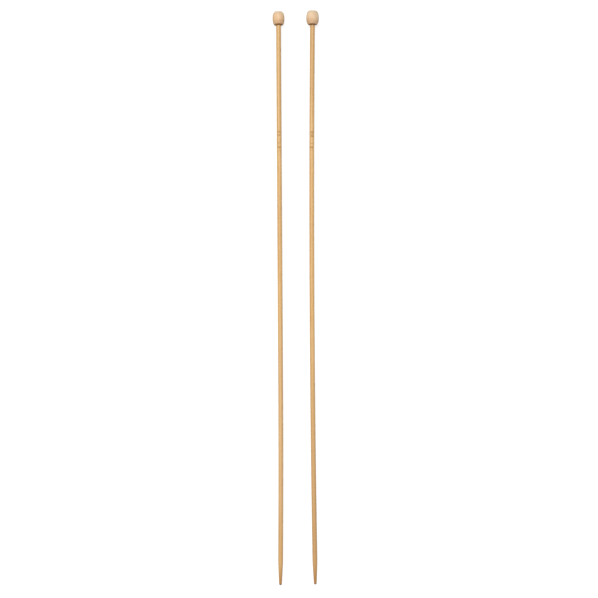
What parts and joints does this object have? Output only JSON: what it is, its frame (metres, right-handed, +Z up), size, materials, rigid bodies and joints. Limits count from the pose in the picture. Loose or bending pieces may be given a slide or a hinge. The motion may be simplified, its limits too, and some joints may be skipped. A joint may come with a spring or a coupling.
{
  "type": "straight knitting needles",
  "caption": "Straight bamboo knitting needles: slim round shafts that taper to blunt rounded points, with turned wooden stopper knobs glued on the other ends.",
  "frame": {"origin": "on the surface that the pair lies on, in the middle of the pair's outline", "axes": "+X across the pair from the left needle to the right, +Y along the needles towards the knobs, +Z up from the surface"},
  "size_m": [0.0286, 0.3554, 0.0077],
  "materials": {
    "bamboo": "satin",
    "knob_wood": "satin",
    "glue": "gloss"
  },
  "bodies": {
    "left_needle": {"left_shaft": "bamboo", "left_knob": "knob_wood", "left_glue": "glue"},
    "right_needle": {"right_shaft": "bamboo", "right_knob": "knob_wood", "right_glue": "glue"}
  },
  "joints": [
    {"name": "right_needle_slide", "type": "slide", "parent": "left_needle", "child": "right_needle", "axis": [1, 0, 0], "range_m": [-0.0132, 0.08]}
  ]
}
